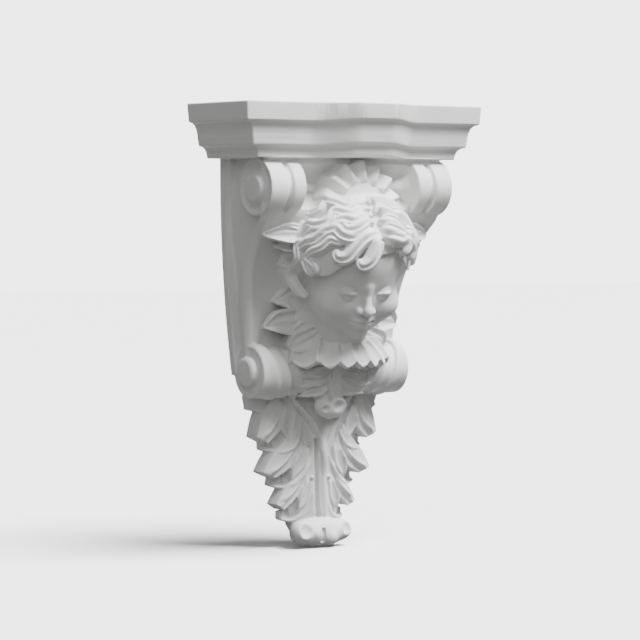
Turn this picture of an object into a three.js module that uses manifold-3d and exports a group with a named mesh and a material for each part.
// A cast plaster wall corbel: a moulded shelf with a serpentine front, a concave scrolled console,
// a child's head with curly hair under a scallop shell, a petal ruff and drop, and an acanthus
// pendant that ends in a curled bud. The whole is one casting, so it is one solid.
// Millimetres, +Z up, the wall behind at Y = 0, the front towards -Y.
import * as THREE from 'three';
import Module from 'manifold-3d';

const wasm = await Module();
wasm.setup();

// Shelf: plan at the top, the bow in the middle of its front, and the heights of its mouldings.
const SHELF_WIDTH = 324;
const SHELF_DEPTH = 117.3;
const SHELF_BOW = 25;
const FASCIA_HEIGHT = 20.7;
const CAVETTO_HEIGHT = 18.3;
const FILLET_HEIGHT = 7.8;
const COVE_HEIGHT = 13.9;
const FASCIA_BATTER = 1.8;
const CAVETTO_INSET = 11.7;
const CAVETTO_LIP = 2.5;
const FILLET_BATTER = 1.4;
const COVE_INSET = 11.1;
const FRONT_INSET_SHARE = 0.64;
const MOULDING_ARCH = 3.2;

// Console between the shelf and the lower roll.
const CONSOLE_HEIGHT = 236.7;
const CONSOLE_WIDTH = 237;
const CONSOLE_TAPER = 14.5;
const CONSOLE_WAIST_DEPTH = 34;
const REAR_BAND = 11;
const FRONT_BAND = 10;
const GROOVE_DEPTH = 3.5;
const GROOVE_SLOPE = 2;
const FRONT_CHAMFER = 3;
const BROW_FLARE = 2.5;

// Upper rolls, under the shelf.
const UPPER_ROLL_RADIUS = 31.8;
const UPPER_ROLL_REACH = 79;
const UPPER_ROLL_WIDTH = 250;
const OUTER_BAND = 23;
const BAND_GROOVE = 8;
const INNER_BAND = 16;
const ROLL_GROOVE_DEPTH = 3.2;
const ROLL_EDGE = 1.5;
const ROLL_NECK_RADIUS = 19;
const SCROLL_RECESS = 5;

// Lower roll, a bolster that is slimmer in the middle, with a boss on each end.
const LOWER_ROLL_RADIUS = 29.8;
const LOWER_ROLL_REACH = 31.7;
const LOWER_ROLL_WIDTH = 197;
const LOWER_ROLL_MIDDLE = 22;
const BOSS_RADIUS = 17;
const BOSS_LENGTH = 10.5;

// Acanthus pendant below the lower roll.
const LEAF_HEIGHT = 172.8;
const LEAF_WIDTH = 175;
const LEAF_EDGE = 17;
const LEAF_CREST = 30;
const STEM_WIDTH = 9;
const STEM_LIFT = 9;
const TIP_REACH = 24;
const TIP_RADIUS = 17;
const TIP_WIDTH = 60;

// Head, shell and ruff. Their carving is in shares of the head's radius.
const HEAD_RADIUS = 66;
const HEAD_REACH = 92;
const HEAD_RISE_SHARE = 0.511;
const HEAD_PITCH = 30;
const HEAD_YAW = -12;
const HAIR_LIFT = 8;

// Height of the fixing point above the tip of the pendant.
const MOUNT_HEIGHT = 300;

const lowerRollZ = LEAF_HEIGHT + LOWER_ROLL_RADIUS;
const shelfBottomZ = lowerRollZ + CONSOLE_HEIGHT;
const shelfHeight = COVE_HEIGHT + FILLET_HEIGHT + CAVETTO_HEIGHT + FASCIA_HEIGHT;
const upperRollZ = shelfBottomZ - 0.97 * UPPER_ROLL_RADIUS;
const consoleDepth = UPPER_ROLL_REACH + 0.25 * UPPER_ROLL_RADIUS;
const headCentre = [0, -HEAD_REACH, lowerRollZ + HEAD_RISE_SHARE * CONSOLE_HEIGHT];

const lerp = THREE.MathUtils.lerp;
const clamp = THREE.MathUtils.clamp;
const smoothstep = THREE.MathUtils.smoothstep;
const radians = THREE.MathUtils.degToRad;
const steps = (count) => Array.from({ length: count + 1 }, (_, i) => i / count);
const bump = (x, z, [x0, z0], [sx, sz]) => Math.exp(-(((x - x0) / sx) ** 2) - ((z - z0) / sz) ** 2);

// A solid from points and triangles, turned so that its faces point out.
function makeSolid(points, triangles) {
  let volume = 0;
  for (const [a, b, c] of triangles) {
    const [p, q, r] = [points[a], points[b], points[c]];
    volume += p[0] * (q[1] * r[2] - q[2] * r[1]);
    volume += p[1] * (q[2] * r[0] - q[0] * r[2]);
    volume += p[2] * (q[0] * r[1] - q[1] * r[0]);
  }
  const faces = volume > 0 ? triangles : triangles.map(([a, b, c]) => [a, c, b]);
  const vertProperties = new Float32Array(points.flat());
  const triVerts = new Uint32Array(faces.flat());
  return new wasm.Manifold(new wasm.Mesh({ numProp: 3, vertProperties, triVerts }));
}

// A skin through closed rings of equal length, with a fan from the middle of each end ring.
function loft(rings) {
  const count = rings[0].length;
  const points = rings.flat();
  const triangles = [];
  for (let k = 0; k + 1 < rings.length; k++) {
    for (let i = 0; i < count; i++) {
      const a = k * count + i;
      const b = k * count + ((i + 1) % count);
      triangles.push([a, b, b + count], [a, b + count, a + count]);
    }
  }
  for (const [ring, first, turn] of [[rings[0], 0, true], [rings.at(-1), points.length - count, false]]) {
    const middle = points.length;
    points.push([0, 1, 2].map((axis) => ring.reduce((sum, p) => sum + p[axis], 0) / count));
    for (let i = 0; i < count; i++) {
      const a = first + i;
      const b = first + ((i + 1) % count);
      triangles.push(turn ? [middle, b, a] : [middle, a, b]);
    }
  }
  return makeSolid(points, triangles);
}

// A blade along a smooth route. Its section is in shares of the half width and of the height.
function blade({ route, outward, halfWidth, height, section, rings = 6 }) {
  const curve = new THREE.CatmullRomCurve3(route.map((p) => new THREE.Vector3(...p)));
  const loops = steps(rings).map((t) => {
    const p = curve.getPoint(t);
    const out = new THREE.Vector3(...outward(p, t)).normalize();
    const side = new THREE.Vector3().crossVectors(curve.getTangent(t), out).normalize();
    return section.map(([s, h]) => {
      const q = p.clone().addScaledVector(side, s * halfWidth(t)).addScaledVector(out, h * height(t));
      return q.toArray();
    });
  });
  return loft(loops);
}

const mirrored = (solid) => solid.mirror([1, 0, 0]);

// Shelf: one closed outline in plan, carried up through the levels of the moulding.
function makeShelf() {
  const half = SHELF_WIDTH / 2;
  const bowAt = (x) => smoothstep((0.22 * half * 2 - Math.abs(x)) / (0.165 * half * 2), 0, 1);
  const cavetto = steps(4).map((t) => {
    const angle = (t * Math.PI) / 2;
    const rise = CAVETTO_HEIGHT * Math.sin(angle) * 0.95;
    return [COVE_HEIGHT + FILLET_HEIGHT + rise, (CAVETTO_INSET - CAVETTO_LIP) * (Math.cos(angle) - 1), 0.9];
  });
  const filletInset = CAVETTO_INSET + FASCIA_BATTER;
  const levels = [
    [0, filletInset + FILLET_BATTER + COVE_INSET, 1],
    [0.4 * COVE_HEIGHT, filletInset + FILLET_BATTER + 0.95 * COVE_INSET, 1],
    [0.73 * COVE_HEIGHT, filletInset + FILLET_BATTER + 0.73 * COVE_INSET, 1],
    [COVE_HEIGHT, filletInset + FILLET_BATTER, 1],
    ...cavetto.map(([z, drop, arch]) => [z, filletInset + drop, arch]),
    [shelfHeight - FASCIA_HEIGHT, FASCIA_BATTER, 0.6],
    [shelfHeight, 0, 0],
  ];
  const frontShares = [-0.46, -0.38, -0.3, -0.22, -0.13, 0, 0.13, 0.22, 0.3, 0.38, 0.46];
  return loft(levels.map(([z, inset, arch]) => {
    const w = half - inset;
    const d = SHELF_DEPTH - FRONT_INSET_SHARE * inset;
    const front = [-1, ...frontShares, 1].map((share) => {
      const x = share * w;
      const bow = Math.abs(share) === 1 ? 0 : bowAt(x);
      return [x, -(d + SHELF_BOW * bow), shelfBottomZ + z + arch * MOULDING_ARCH * bow];
    });
    return [[-w, 0, shelfBottomZ + z], ...front, [w, 0, shelfBottomZ + z]];
  }));
}

// Console: concave in front, with a band along each edge of its sides and a groove between them.
function makeConsole() {
  const brow = 0.7;
  const ring = (s) => {
    const z = lowerRollZ + s * CONSOLE_HEIGHT;
    const up = clamp(s / brow, 0, 1);
    const depth = lerp(CONSOLE_WAIST_DEPTH, consoleDepth, up ** 3.2);
    const rear = CONSOLE_WIDTH / 2 - CONSOLE_TAPER * Math.max(0, 1 - s) ** 2.2;
    const front = lerp(CONSOLE_WIDTH / 2 - 1.27 * CONSOLE_TAPER, CONSOLE_WIDTH / 2 + BROW_FLARE, up ** 1.6);
    const rearBand = REAR_BAND * (1 + 1.1 * smoothstep(s, 0.75, 1));
    const frontBand = FRONT_BAND * (1 + Math.sin(Math.PI * up));
    const grooveEnd = Math.max(rearBand + 2 * GROOVE_SLOPE, depth - frontBand - GROOVE_SLOPE);
    const right = [
      [rear, 0], [rear, -rearBand], [rear - GROOVE_DEPTH, -rearBand - GROOVE_SLOPE],
      [front - GROOVE_DEPTH, -grooveEnd], [front, -grooveEnd - GROOVE_SLOPE], [front, -depth + FRONT_CHAMFER],
      [front - FRONT_CHAMFER, -depth], [0.5 * front, -depth],
    ];
    const left = right.map(([x, y]) => [-x, y]).reverse();
    return [...right, ...left].map(([x, y]) => [x, y, z]);
  };
  const heights = [-0.1, 0.14, 0.32, 0.44, 0.53, 0.62, 0.7, 0.78, 1.03];
  return loft(heights.map(ring));
}

// A roll along X from its outer end inwards: [x, radius, share of the spiral, share of the slant].
function roll({ centreY, centreZ, profile, sides, spiral = 0, slant = 0 }) {
  return loft(profile.map(([x, radius, curl = 0, lean = 0]) => {
    return steps(sides).slice(1).map((share) => {
      const angle = 2 * Math.PI * share;
      const r = radius * (1 + curl * spiral * (share - 0.5));
      const down = 0.5 - 0.5 * Math.cos(angle);
      return [x - lean * slant * down, centreY + r * Math.sin(angle), centreZ + r * Math.cos(angle)];
    });
  }));
}

// Upper roll: a scroll on its end, two bands with a groove between, and a slim neck to the middle.
function makeUpperRoll() {
  const end = UPPER_ROLL_WIDTH / 2;
  const R = UPPER_ROLL_RADIUS;
  const groove = end - OUTER_BAND;
  const inner = groove - BAND_GROOVE;
  const neck = inner - INNER_BAND;
  const profile = [
    [end + ROLL_EDGE, 0.25 * R], [end + ROLL_EDGE, 0.5 * R, 1], [end - SCROLL_RECESS, 0.58 * R, 1],
    [end - SCROLL_RECESS, 0.84 * R, 0.15], [end, 0.9 * R], [end, R],
    [groove, R], [groove - ROLL_EDGE, R - ROLL_GROOVE_DEPTH], [inner + ROLL_EDGE, R - ROLL_GROOVE_DEPTH],
    [inner, 0.98 * R], [neck, 0.98 * R], [neck - 2 * ROLL_EDGE, 0.86 * R],
    [0.4 * end, ROLL_NECK_RADIUS], [-1, ROLL_NECK_RADIUS],
  ];
  return roll({ centreY: -UPPER_ROLL_REACH, centreZ: upperRollZ, profile, sides: 16, spiral: 0.28 });
}

// Lower roll: flared bands that lap each other towards the ends, and a chamfered boss.
function makeLowerRoll() {
  const end = LOWER_ROLL_WIDTH / 2;
  const R = LOWER_ROLL_RADIUS;
  const M = LOWER_ROLL_MIDDLE;
  const profile = [
    [end + BOSS_LENGTH, 0.84 * BOSS_RADIUS], [end + 0.72 * BOSS_LENGTH, BOSS_RADIUS],
    [end - ROLL_EDGE, 1.05 * BOSS_RADIUS], [end - ROLL_EDGE, 0.8 * R], [end, 0.84 * R], [end - ROLL_EDGE, R],
    [0.8 * end, lerp(M, R, 0.93)], [0.77 * end, lerp(M, R, 0.6), 0, 0.6],
    [0.56 * end, lerp(M, R, 0.6), 0, 0.8], [0.53 * end, lerp(M, R, 0.2), 0, 0.8], [-1, M],
  ];
  return roll({ centreY: -LOWER_ROLL_REACH, centreZ: lowerRollZ, profile, sides: 14, slant: 14 });
}

// Leaf coordinates are shares of half the leaf's width and of its height.
const onLeaf = ([u, v]) => [(-u * LEAF_WIDTH) / 2, 0, v * LEAF_HEIGHT];

// Ground of the leaf: a low roof from its thick edge up to the line of the stem.
function makeLeafGround() {
  const outline = [
    [0.04, 0.005], [0.24, 0.07], [0.36, 0.15], [0.43, 0.24], [0.48, 0.38], [0.53, 0.5],
    [0.62, 0.62], [0.74, 0.76], [0.8, 0.91], [1, 0.925], [1, 1.1],
  ];
  return loft(outline.map(([u, v]) => {
    const w = (u * LEAF_WIDTH) / 2;
    const z = v * LEAF_HEIGHT;
    const crest = lerp(0.5 * LEAF_EDGE, LEAF_CREST, smoothstep(v, 0, 0.25));
    const edge = Math.min(0.8 * LEAF_EDGE, crest);
    return [
      [-w, 0, z], [-w, -edge, z], [-0.45 * w, -lerp(edge, crest, 0.7), z], [0, -crest, z],
      [0.45 * w, -lerp(edge, crest, 0.7), z], [w, -edge, z], [w, 0, z], [0, 0, z],
    ];
  }));
}

// Lobes of one side of the leaf: a ridged main lobe, a small lobe inside it and one beneath.
function makeLeafLobes() {
  const scooped = [[-1, 0], [-1, 0.86], [-0.5, 0.8], [0, 1], [0.5, 0.8], [1, 0.86], [1, 0]];
  const plain = [[-1, 0], [-1, 0.9], [0, 1], [1, 0.9], [1, 0]];
  const lobe = (route, share, lift, section, rings) => {
    const swell = (t) => Math.sin(Math.PI * (0.12 + 0.83 * t)) ** 0.75;
    const halfWidth = (t) => Math.max(0.8, ((share * LEAF_WIDTH) / 2) * swell(t));
    const height = (t) => lift * lerp(1.12 * LEAF_CREST, 1.05 * LEAF_EDGE, t ** 0.7);
    return blade({ route: route.map(onLeaf), outward: () => [0, -1, 0], halfWidth, height, section, rings });
  };
  const tiers = [
    { main: [[0.38, 1.03], [0.58, 0.9], [0.8, 0.79], [0.93, 0.735]], width: 0.26 },
    { main: [[0.29, 0.86], [0.36, 0.7], [0.58, 0.6], [0.825, 0.515]], width: 0.22 },
    { main: [[0.14, 0.64], [0.2, 0.48], [0.4, 0.37], [0.61, 0.29]], width: 0.18 },
  ];
  const inner = [
    [[0.42, 0.95], [0.38, 0.82], [0.46, 0.71]],
    [[0.2, 0.7], [0.26, 0.57], [0.41, 0.46]],
    [[0.13, 0.47], [0.18, 0.38], [0.31, 0.28]],
  ];
  const under = [
    [[0.5, 0.8], [0.64, 0.71], [0.82, 0.675]],
    [[0.38, 0.56], [0.5, 0.48], [0.64, 0.44]],
    [[0.2, 0.34], [0.34, 0.24], [0.5, 0.2]],
  ];
  return [
    ...tiers.map(({ main, width }) => lobe(main, width, 1, scooped, 4)),
    ...inner.map((route) => lobe(route, 0.1, 0.97, plain, 3)),
    ...under.map((route) => lobe(route, 0.08, 0.86, plain, 3)),
  ];
}

// Stem of the leaf, forked at the top, and the bud that its tip curls out into.
function makeLeafStem() {
  const section = [[-1, -0.6], [-0.8, 0.5], [0, 1], [0.8, 0.5], [1, -0.6]];
  const rib = (route, width) => blade({
    route: route.map(([u, v, lift]) => [(u * LEAF_WIDTH) / 2, -LEAF_CREST * (0.9 + 0.1 * lift), v * LEAF_HEIGHT]),
    outward: () => [0, -1, 0],
    halfWidth: () => width / 2,
    height: () => STEM_LIFT,
    section,
    rings: 6,
  });
  const fork = (side) => [[side * 0.5, 1.03, 0], [side * 0.36, 0.9, 0], [side * 0.14, 0.73, 0], [side * 0.02, 0.6, 0]];
  return [
    rib([[0, 0.68, 0], [-0.05, 0.45, 0], [-0.04, 0.28, 0], [0, 0.14, -0.5]], STEM_WIDTH),
    rib(fork(-1), 0.6 * STEM_WIDTH),
    rib(fork(1), 0.6 * STEM_WIDTH),
  ];
}

function makeTipBud() {
  const half = TIP_WIDTH / 2;
  const profile = steps(6).map((t) => {
    const x = lerp(-half, half, t);
    return [x, TIP_RADIUS * Math.max(0.3, Math.cos((x / half) * 1.25) ** 0.55)];
  });
  return roll({ centreY: -TIP_REACH, centreZ: 1.018 * TIP_RADIUS, profile, sides: 10 });
}

// Points on the head: right, forward and up in shares of its radius, then pitched, yawed and placed.
const headTurn = new THREE.Euler(radians(HEAD_PITCH), 0, radians(HEAD_YAW), 'ZXY');
function onHead([right, forward, up]) {
  const p = new THREE.Vector3(right, -forward, up).multiplyScalar(HEAD_RADIUS).applyEuler(headTurn);
  return [p.x + headCentre[0], p.y + headCentre[1], p.z + headCentre[2]];
}

// Depth that the rounder forms add to the front of the face, in shares of the head's radius. The
// proportions are the usual ones of a small child: eyes at mid height, a short nose, full cheeks.
function faceRelief(x, z) {
  const ax = Math.abs(x);
  const brows = 0.05 * bump(ax, z, [0.3, 0.1], [0.26, 0.1]);
  const sockets = -0.11 * bump(ax, z, [0.31, -0.12], [0.17, 0.12]);
  const cheeks = 0.07 * bump(ax, z, [0.42, -0.46], [0.24, 0.24]);
  const mouth = 0.07 * bump(x, z, [0, -0.66], [0.25, 0.16]);
  const chin = 0.12 * bump(x, z, [0, -1.0], [0.24, 0.16]);
  return brows + sockets + cheeks + mouth + chin;
}

// How far forward the skin of the face is, at a place across and up, in shares of the radius.
const SKULL_HALF_WIDTH = 0.88;
const SKULL_HALF_DEPTH = 0.93;
const jawShare = (up) => 1 - 0.14 * smoothstep(-up, 0.15, 1);
const skullHeight = (up) => (up < 0 ? 1.22 : 1.06);

function faceDepth(x, z) {
  const up = z / skullHeight(z);
  const girth = Math.sqrt(1 - up * up);
  const across = clamp(x / (SKULL_HALF_WIDTH * jawShare(up) * girth), -1, 1);
  const forward = SKULL_HALF_DEPTH * girth * Math.sqrt(1 - across * across);
  return forward + smoothstep(forward, 0.05, 0.45) * faceRelief(x, z);
}

// Skull: narrower than deep, with full cheeks and a small chin. Its grid is finer on the face.
function makeSkull() {
  const columns = steps(22).slice(1).map((t) => {
    const s = 2 * t - 1;
    return Math.PI * (0.4 * s + 0.6 * s ** 3);
  });
  const rows = steps(12).map((t) => radians(lerp(-84, 50, t)));
  const ringAt = (elevation) => columns.map((azimuth) => {
    const up = Math.sin(elevation);
    const right = SKULL_HALF_WIDTH * jawShare(up) * Math.cos(elevation) * Math.sin(azimuth);
    const forward = SKULL_HALF_DEPTH * Math.cos(elevation) * Math.cos(azimuth);
    const facing = smoothstep(forward, 0.05, 0.45);
    const z = skullHeight(up) * up;
    return onHead([right, forward + facing * faceRelief(right, z), z]);
  });
  return loft(rows.map(ringAt));
}

// Nose, lids and lips, as small rounded forms that sit on the skull, and the neck under it.
function makeFeatures() {
  const R = HEAD_RADIUS;
  const ahead = onHead([0, 1, 0]).map((value, axis) => value - headCentre[axis]);
  const form = (route, widths, height, rings) => blade({
    route: route.map(([x, z, lift]) => onHead([x, faceDepth(x, z) + lift, z])),
    outward: () => ahead,
    halfWidth: (t) => R * (t < 0.5 ? lerp(widths[0], widths[1], 2 * t) : lerp(widths[1], widths[2], 2 * t - 1)),
    height: () => height * R,
    section: [[-1, -1], [-0.7, 0.6], [0, 1], [0.7, 0.6], [1, -1]],
    rings,
  });
  const nose = form([[0, 0.02, 0], [0, -0.2, 0.04], [0, -0.4, 0.14], [0, -0.48, 0.02]], [0.07, 0.08, 0.15], 0.1, 5);
  const lids = [-1, 1].map((side) => form(
    [[side * 0.47, -0.14, 0.02], [side * 0.31, -0.11, 0.03], [side * 0.16, -0.14, 0.01]], [0.02, 0.08, 0.02], 0.05, 4,
  ));
  const upperLip = form([[-0.22, -0.67, 0], [0, -0.64, 0.03], [0.22, -0.67, 0]], [0.01, 0.05, 0.01], 0.06, 4);
  const lowerLip = form([[-0.17, -0.71, 0], [0, -0.74, 0.02], [0.17, -0.71, 0]], [0.01, 0.055, 0.01], 0.06, 4);
  const neck = loft(steps(2).map((t) => steps(10).slice(1).map((s) => {
    const angle = 2 * Math.PI * s;
    const r = lerp(0.5, 0.58, t) * R;
    const y = -0.6 * HEAD_REACH - 0.8 * r * Math.cos(angle);
    return [r * Math.sin(angle), y, headCentre[2] - R * lerp(0.2, 1.6, t)];
  })));
  return [nose, ...lids, upperLip, lowerLip, neck];
}

// Hair: a cap over the top and back of the skull, and wavy locks that fall from the parting.
function hairSurface(azimuth, elevation, lift) {
  const r = 1 + lift;
  const across = r * Math.cos(elevation) * Math.sin(azimuth);
  return [across, r * Math.cos(elevation) * Math.cos(azimuth), 1.14 * r * Math.sin(elevation)];
}

function makeHair() {
  const lift = HAIR_LIFT / HEAD_RADIUS;
  const cap = loft(steps(5).map((t) => {
    const tilt = lerp(-0.2, 1, t) * 0.5 * Math.PI;
    return steps(18).slice(1).map((s) => {
      const azimuth = 2 * Math.PI * s;
      const frontLift = 0.85 * Math.max(0, Math.cos(azimuth)) * (1 - t);
      const elevation = Math.min(tilt + frontLift + 0.06, 0.5 * Math.PI - 0.02 * (1 - t) - 0.02);
      return onHead(hairSurface(azimuth, elevation, 0.3 * lift));
    });
  }));
  const section = [[-1, -0.9], [-0.5, 0.8], [0.5, 0.8], [1, -0.9]];
  const lock = (start, end, width, wave) => {
    const route = steps(4).map((t) => {
      const azimuth = lerp(start[0], end[0], t) + wave * Math.sin(3 * Math.PI * t) * (0.3 + 0.7 * t);
      const elevation = lerp(start[1], end[1], t ** 1.15);
      return onHead(hairSurface(azimuth, elevation, 0.9 * lift * Math.sin(Math.PI * (0.15 + 0.7 * t))));
    });
    return blade({
      route,
      outward: (p) => [p.x - headCentre[0], p.y - headCentre[1], p.z - headCentre[2]],
      halfWidth: (t) => width * HEAD_RADIUS * (0.35 + 0.65 * Math.sin(Math.PI * (0.1 + 0.75 * t))),
      height: (t) => HAIR_LIFT * (0.75 - 0.35 * t),
      section,
      rings: 4,
    });
  };
  const locks = [];
  for (const side of [-1, 1]) {
    for (let row = 0; row < 5; row++) {
      const t = row / 4;
      const start = [side * lerp(0.12, 1.2, t ** 1.3), lerp(0.72, 1.28, Math.sin(Math.PI * t ** 0.8) * 0.4 + 0.4)];
      const end = [side * lerp(0.42, 2.5, t), lerp(0.5, -0.42, Math.min(1, 1.6 * t))];
      locks.push(lock(start, end, 0.2, 0.14 * side));
    }
  }
  return [cap, ...locks];
}

// Scallop shell behind the crown: a fan of flutes with a scalloped rim around a plain inner dome.
function makeShell() {
  const flutes = 8;
  const centre = [0, 0.92 * HEAD_RADIUS];
  const around = steps(flutes * 2);
  const face = (share, lean) => around.map((t) => {
    const angle = lerp(-0.04, 1.06, t) * Math.PI;
    const flute = Math.cos(2 * Math.PI * flutes * t);
    const rim = smoothstep(share, 0.6, 1);
    const r = HEAD_RADIUS * (0.8 * share + 0.035 * rim * flute);
    const y = -HEAD_REACH - HEAD_RADIUS * (lean - 0.045 * flute * smoothstep(share, 0.5, 0.75));
    return [centre[0] + r * Math.cos(angle), y, headCentre[2] + centre[1] + r * Math.sin(angle)];
  });
  const rows = [face(0.3, -0.35), face(0.9, -0.35), face(1, -0.02), face(1, 0.3), face(0.62, 0.45), face(0.3, 0.5)];
  return loft(rows[0].map((_, i) => rows.map((row) => row[i])));
}

// Ruff under the chin: a bell of pointed petals around a plain core.
function makeRuff() {
  const R = HEAD_RADIUS;
  const middleY = -0.49 * HEAD_REACH;
  const topZ = headCentre[2] - 1.37 * R;
  const bell = (angle, drop) => {
    const flare = lerp(0.7, 0.98, Math.sin((drop * Math.PI) / 2));
    const z = topZ + R * (0.15 * (1 - Math.cos(angle)) * (1 - drop) - 0.45 * drop);
    return [R * flare * Math.sin(angle), middleY - 0.84 * R * flare * Math.cos(angle), z];
  };
  const core = loft(steps(3).map((drop) => steps(14).slice(1).map((s) => {
    const [x, y, z] = bell(2 * Math.PI * s, 0.85 * drop);
    return [0.93 * x, Math.min(-0.12 * R, middleY + 0.93 * (y - middleY)), z];
  })));
  const petals = steps(7).map((s) => {
    const angle = lerp(-1.45, 1.45, s);
    return blade({
      route: [0, 0.35, 0.7, 1].map((drop) => bell(angle, drop)),
      outward: (p) => [p.x, p.y - middleY, 0.2 * R],
      halfWidth: (t) => R * lerp(0.13, 0.2, t) * Math.min(1, 5 * (1.03 - t)) ** 0.8,
      height: () => 0.07 * R,
      section: [[-1, -1.2], [-0.8, 0.6], [0, 0.1], [0.8, 0.6], [1, -1.2]],
      rings: 3,
    });
  });
  return [core, ...petals];
}

// Below the ruff: blade leaves to both sides of a rib that widens into the drop.
function makeDrop() {
  const R = HEAD_RADIUS;
  const frontY = -LOWER_ROLL_REACH - LOWER_ROLL_MIDDLE;
  const topZ = lowerRollZ + 0.12 * R;
  const drop = blade({
    route: [[0, frontY, topZ + 0.2 * R], [0, frontY - 0.06 * R, topZ - 0.2 * R], [0, frontY, topZ - 0.6 * R],
      [0, frontY + 0.09 * R, topZ - 0.95 * R]],
    outward: () => [0, -1, 0],
    halfWidth: (t) => R * lerp(0.1, 0.32, smoothstep(t, 0.3, 0.75)) * Math.min(1, 7 * (1.02 - t)) ** 0.5,
    height: (t) => R * lerp(0.24, 0.16, t),
    section: [[-0.9, -1.8], [-1, 0], [-0.6, 0.75], [-0.12, 0.8], [0.12, 0.8], [0.6, 0.75], [1, 0], [0.9, -1.8]],
    rings: 6,
  });
  const tongue = makeDropCurl(frontY + 0.03 * R, topZ - 0.82 * R);
  const leaves = [[0.95, 0], [0.9, -0.2], [0.72, -0.4]].map(([reach, fall]) => blade({
    route: [[-0.05 * R, frontY - 0.12 * R, topZ + (fall + 0.25) * R], [-0.5 * R, frontY - 0.12 * R, topZ + (fall + 0.06) * R],
      [-reach * R, frontY + 0.03 * R, topZ + fall * R]],
    outward: () => [-0.2, -1, 0.1],
    halfWidth: (t) => 0.13 * R * Math.max(0.12, Math.sin(Math.PI * (0.1 + 0.86 * t)) ** 0.7),
    height: () => 0.13 * R,
    section: [[-1, -2], [-0.9, 0.5], [0, 1], [0.9, 0.5], [1, -2]],
    rings: 3,
  }));
  return [drop, tongue, ...leaves, ...leaves.map(mirrored)];
}

function makeDropCurl(y, z) {
  const half = 0.27 * HEAD_RADIUS;
  const profile = steps(4).map((t) => [lerp(-half, half, t), 0.13 * HEAD_RADIUS * Math.max(0.45, Math.sin(Math.PI * t) ** 0.5)]);
  return roll({ centreY: y - 0.1 * HEAD_RADIUS, centreZ: z, profile, sides: 8 });
}

// Leaves that spread from behind the head over the front of the console, on one side.
function makeSideLeaves() {
  const R = HEAD_RADIUS;
  const level = (share) => lowerRollZ + share * CONSOLE_HEIGHT;
  const routes = [
    [[-0.6, -0.64, 0.27], [-1.05, -0.76, 0.26], [-1.45, -0.7, 0.21]],
    [[-0.55, -0.7, 0.25], [-0.78, -0.88, 0.2], [-0.94, -0.82, 0.15]],
    [[-0.62, -0.79, 0.35], [-0.98, -0.88, 0.355], [-1.25, -0.76, 0.325]],
    [[-0.9, -0.94, 0.61], [-1.3, -1.03, 0.64], [-1.6, -0.91, 0.66]],
  ];
  return routes.map((route) => blade({
    route: route.map(([x, y, share]) => [x * R, y * R, level(share)]),
    outward: () => [-0.3, -1, 0],
    halfWidth: (t) => 0.24 * R * Math.max(0.08, Math.sin(Math.PI * (0.15 + 0.82 * t)) ** 0.8),
    height: () => 0.14 * R,
    section: [[-1, -1.4], [-1, 0.2], [0, 1], [1, 0.2], [1, -1.4]],
    rings: 3,
  }));
}

const rightSide = [makeUpperRoll(), makeLowerRoll()];
const leftSide = [...makeLeafLobes(), ...makeSideLeaves()];
const pieces = [
  makeShelf(), makeConsole(), ...rightSide, ...rightSide.map(mirrored),
  makeLeafGround(), ...leftSide, ...leftSide.map(mirrored), ...makeLeafStem(), makeTipBud(),
  makeSkull(), ...makeFeatures(), ...makeHair(), makeShell(), ...makeRuff(), ...makeDrop(),
];
const casting = pieces.reduce((whole, piece) => whole.add(piece));

// Where the joined forms close around a small hollow, plaster fills it: its inner wall is left out.
function fillHollows({ vertProperties, triVerts }) {
  const leader = Array.from({ length: vertProperties.length / 3 }, (_, i) => i);
  const find = (i) => {
    while (leader[i] !== i) i = leader[i] = leader[leader[i]];
    return i;
  };
  for (let i = 0; i < triVerts.length; i += 3) {
    leader[find(triVerts[i])] = find(triVerts[i + 1]);
    leader[find(triVerts[i + 1])] = find(triVerts[i + 2]);
  }
  const point = (i) => new THREE.Vector3().fromArray(vertProperties, 3 * i);
  const volumes = new Map();
  for (let i = 0; i < triVerts.length; i += 3) {
    const [a, b, c] = [0, 1, 2].map((k) => point(triVerts[i + k]));
    const shell = find(triVerts[i]);
    volumes.set(shell, (volumes.get(shell) ?? 0) + a.dot(b.cross(c)));
  }
  return triVerts.filter((_, k) => volumes.get(find(triVerts[k - (k % 3)])) > 0);
}

const mesh = casting.getMesh();
const geometry = new THREE.BufferGeometry();
geometry.setAttribute('position', new THREE.BufferAttribute(mesh.vertProperties, 3));
geometry.setIndex(new THREE.BufferAttribute(fillHollows(mesh), 1));
geometry.computeVertexNormals();

const plaster = new THREE.MeshStandardMaterial({ color: 0xdedede, roughness: 0.8, metalness: 0 });
const corbel = new THREE.Mesh(geometry, plaster);
corbel.name = 'corbel';
corbel.position.z = -MOUNT_HEIGHT;

const part = new THREE.Group();
part.add(corbel);
export default part;
